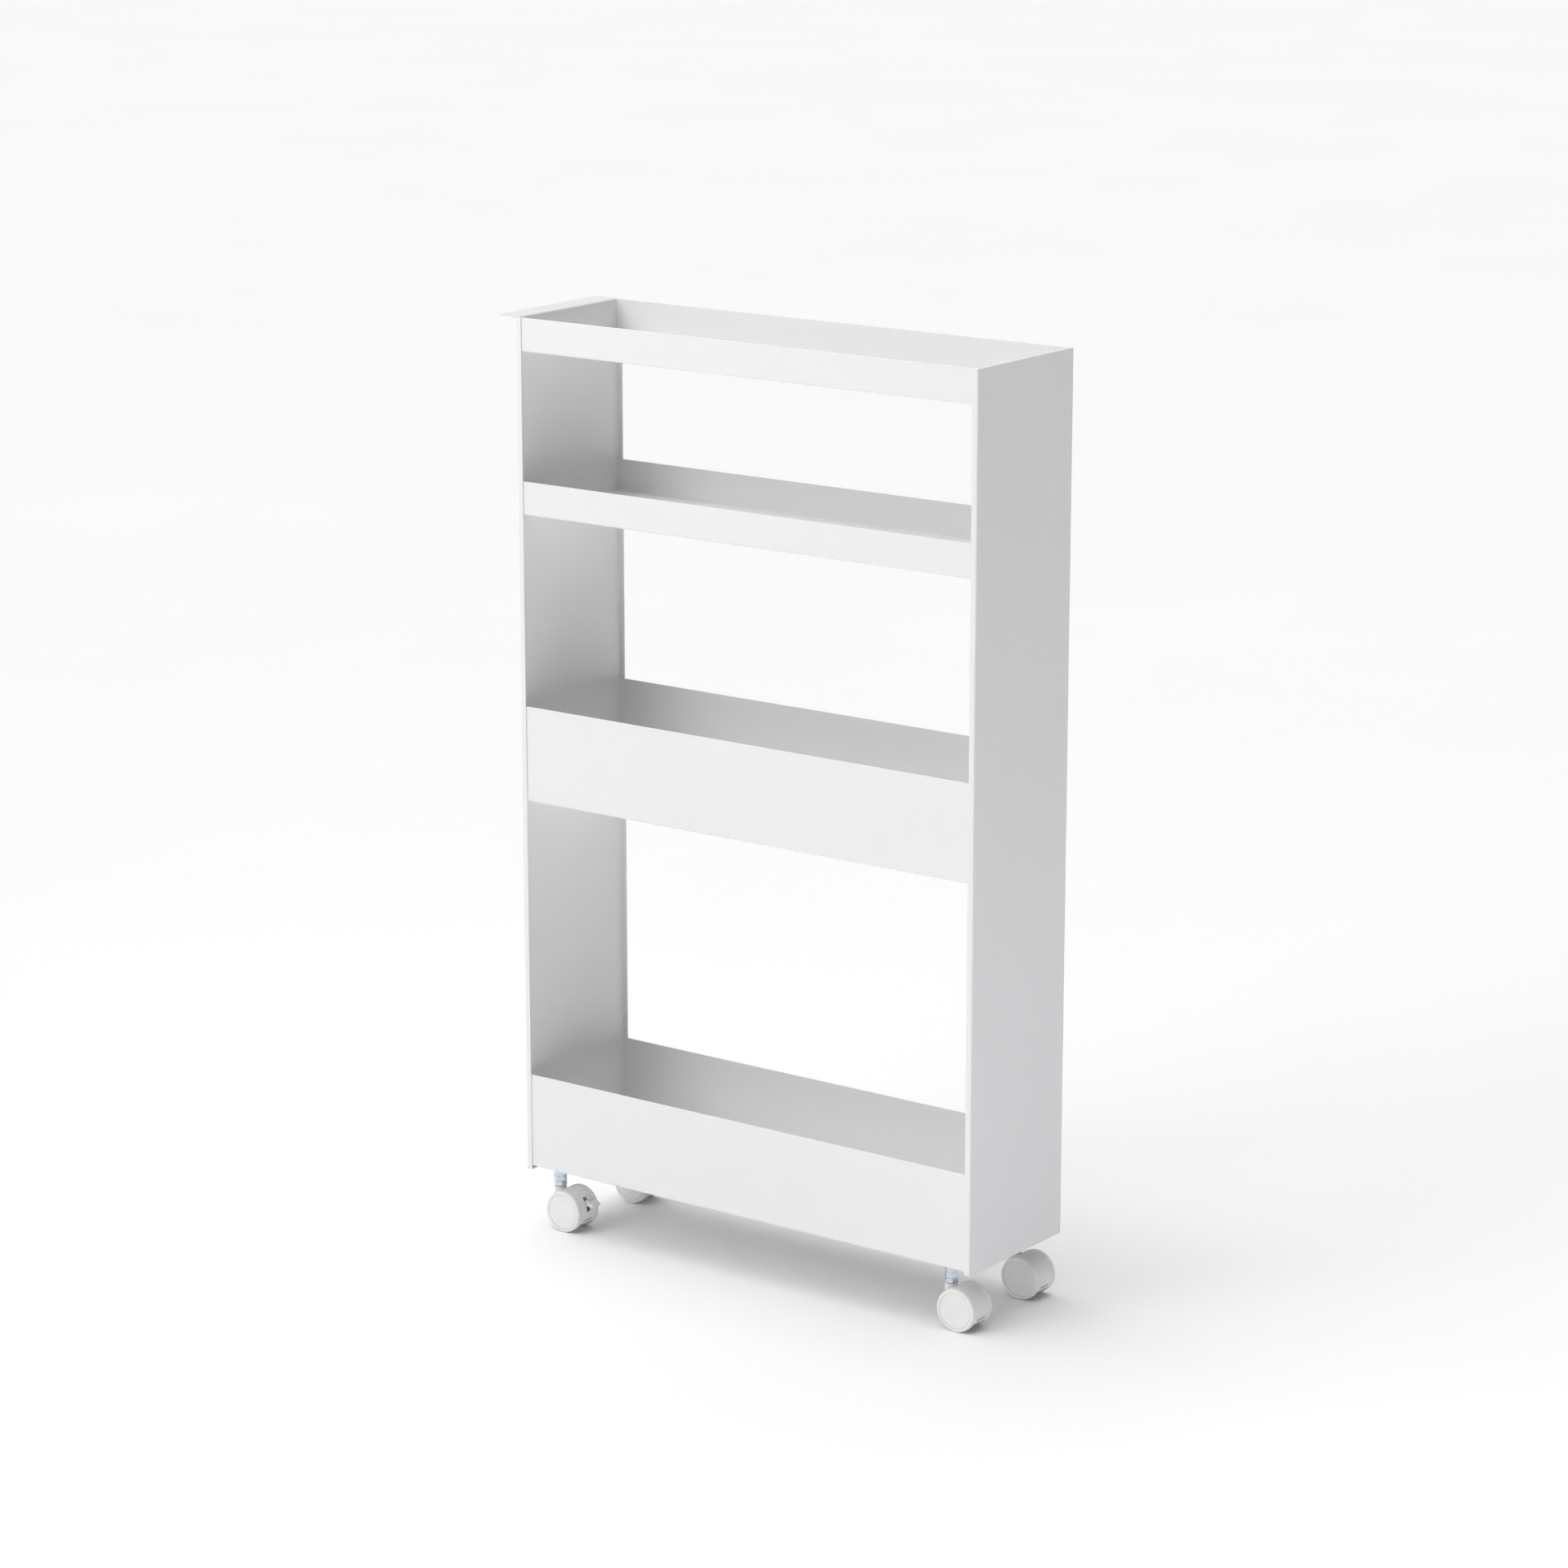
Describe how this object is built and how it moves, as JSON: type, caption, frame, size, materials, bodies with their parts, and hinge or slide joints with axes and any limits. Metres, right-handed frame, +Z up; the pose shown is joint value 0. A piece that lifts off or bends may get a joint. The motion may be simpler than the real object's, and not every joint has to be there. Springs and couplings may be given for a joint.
{
  "type": "rolling pantry cart",
  "caption": "Slim white sheet-metal pantry cart: stacked open trays between folded end panels, a flat pull lip at the top and small twin-wheel swivel casters.",
  "frame": {"origin": "centre of the whole footprint, on the floor", "axes": "+Z up, +X along the cart away from the pull lip, +Y across it towards the back"},
  "size_m": [0.494, 0.138, 0.8085],
  "materials": {
    "painted_steel": "fine-grained white powder coat, semi-matt",
    "white_plastic": "moulded white nylon, satin",
    "brake_plastic": "moulded light grey nylon, satin",
    "zinc_steel": "blue-white zinc plate",
    "plain_steel": "plain turned steel"
  },
  "bodies": {
    "cart": {"handle_end_panel": "painted_steel", "back_end_panel": "painted_steel", "top_tray": "painted_steel", "second_tray": "painted_steel", "third_tray": "painted_steel", "bottom_tray": "painted_steel", "weld_studs": "zinc_steel", "tray_nuts": "zinc_steel", "caster_sockets": "zinc_steel", "caster_lock_nuts": "zinc_steel", "handle_front_stem": "zinc_steel", "handle_back_stem": "zinc_steel", "far_front_stem": "zinc_steel", "far_back_stem": "zinc_steel"},
    "handle_front_swivel": {"handle_front_housing": "white_plastic", "handle_front_axle": "plain_steel", "handle_front_axle_clips": "plain_steel", "handle_front_brake_pin": "plain_steel"},
    "handle_front_outer_roller": {"handle_front_outer_wheel": "white_plastic", "handle_front_outer_cap": "white_plastic"},
    "handle_front_inner_roller": {"handle_front_inner_wheel": "white_plastic", "handle_front_inner_cap": "white_plastic"},
    "handle_front_brake": {"handle_front_brake_lever": "brake_plastic"},
    "handle_back_swivel": {"handle_back_housing": "white_plastic", "handle_back_axle": "plain_steel", "handle_back_axle_clips": "plain_steel", "handle_back_brake_pin": "plain_steel"},
    "handle_back_outer_roller": {"handle_back_outer_wheel": "white_plastic", "handle_back_outer_cap": "white_plastic"},
    "handle_back_inner_roller": {"handle_back_inner_wheel": "white_plastic", "handle_back_inner_cap": "white_plastic"},
    "handle_back_brake": {"handle_back_brake_lever": "brake_plastic"},
    "far_front_swivel": {"far_front_housing": "white_plastic", "far_front_axle": "plain_steel", "far_front_axle_clips": "plain_steel"},
    "far_front_outer_roller": {"far_front_outer_wheel": "white_plastic", "far_front_outer_cap": "white_plastic"},
    "far_front_inner_roller": {"far_front_inner_wheel": "white_plastic", "far_front_inner_cap": "white_plastic"},
    "far_back_swivel": {"far_back_housing": "white_plastic", "far_back_axle": "plain_steel", "far_back_axle_clips": "plain_steel"},
    "far_back_outer_roller": {"far_back_outer_wheel": "white_plastic", "far_back_outer_cap": "white_plastic"},
    "far_back_inner_roller": {"far_back_inner_wheel": "white_plastic", "far_back_inner_cap": "white_plastic"}
  },
  "joints": [
    {"name": "handle_front_swivel_turn", "type": "hinge", "parent": "cart", "child": "handle_front_swivel", "pos_m": [-0.2023, -0.048, 0.0373], "axis": [0, 0, 1], "continuous": true},
    {"name": "handle_front_outer_wheel_spin", "type": "hinge", "parent": "handle_front_swivel", "child": "handle_front_outer_roller", "pos_m": [-0.1891, -0.048, 0.0186], "axis": [0, 1, 0], "continuous": true},
    {"name": "handle_front_inner_wheel_spin", "type": "hinge", "parent": "handle_front_swivel", "child": "handle_front_inner_roller", "pos_m": [-0.1891, -0.048, 0.0186], "axis": [0, 1, 0], "continuous": true},
    {"name": "handle_front_brake_press", "type": "hinge", "parent": "handle_front_swivel", "child": "handle_front_brake", "pos_m": [-0.18229, -0.048, 0.0314], "axis": [0, 1, 0], "range_deg": [0, 8]},
    {"name": "handle_back_swivel_turn", "type": "hinge", "parent": "cart", "child": "handle_back_swivel", "pos_m": [-0.2023, 0.048, 0.0373], "axis": [0, 0, 1], "continuous": true},
    {"name": "handle_back_outer_wheel_spin", "type": "hinge", "parent": "handle_back_swivel", "child": "handle_back_outer_roller", "pos_m": [-0.1891, 0.048, 0.0186], "axis": [0, 1, 0], "continuous": true},
    {"name": "handle_back_inner_wheel_spin", "type": "hinge", "parent": "handle_back_swivel", "child": "handle_back_inner_roller", "pos_m": [-0.1891, 0.048, 0.0186], "axis": [0, 1, 0], "continuous": true},
    {"name": "handle_back_brake_press", "type": "hinge", "parent": "handle_back_swivel", "child": "handle_back_brake", "pos_m": [-0.18229, 0.048, 0.0314], "axis": [0, 1, 0], "range_deg": [0, 8]},
    {"name": "far_front_swivel_turn", "type": "hinge", "parent": "cart", "child": "far_front_swivel", "pos_m": [0.2151, -0.048, 0.0373], "axis": [0, 0, 1], "continuous": true},
    {"name": "far_front_outer_wheel_spin", "type": "hinge", "parent": "far_front_swivel", "child": "far_front_outer_roller", "pos_m": [0.2283, -0.048, 0.0186], "axis": [0, 1, 0], "continuous": true},
    {"name": "far_front_inner_wheel_spin", "type": "hinge", "parent": "far_front_swivel", "child": "far_front_inner_roller", "pos_m": [0.2283, -0.048, 0.0186], "axis": [0, 1, 0], "continuous": true},
    {"name": "far_back_swivel_turn", "type": "hinge", "parent": "cart", "child": "far_back_swivel", "pos_m": [0.2151, 0.048, 0.0373], "axis": [0, 0, 1], "continuous": true},
    {"name": "far_back_outer_wheel_spin", "type": "hinge", "parent": "far_back_swivel", "child": "far_back_outer_roller", "pos_m": [0.2283, 0.048, 0.0186], "axis": [0, 1, 0], "continuous": true},
    {"name": "far_back_inner_wheel_spin", "type": "hinge", "parent": "far_back_swivel", "child": "far_back_inner_roller", "pos_m": [0.2283, 0.048, 0.0186], "axis": [0, 1, 0], "continuous": true}
  ]
}
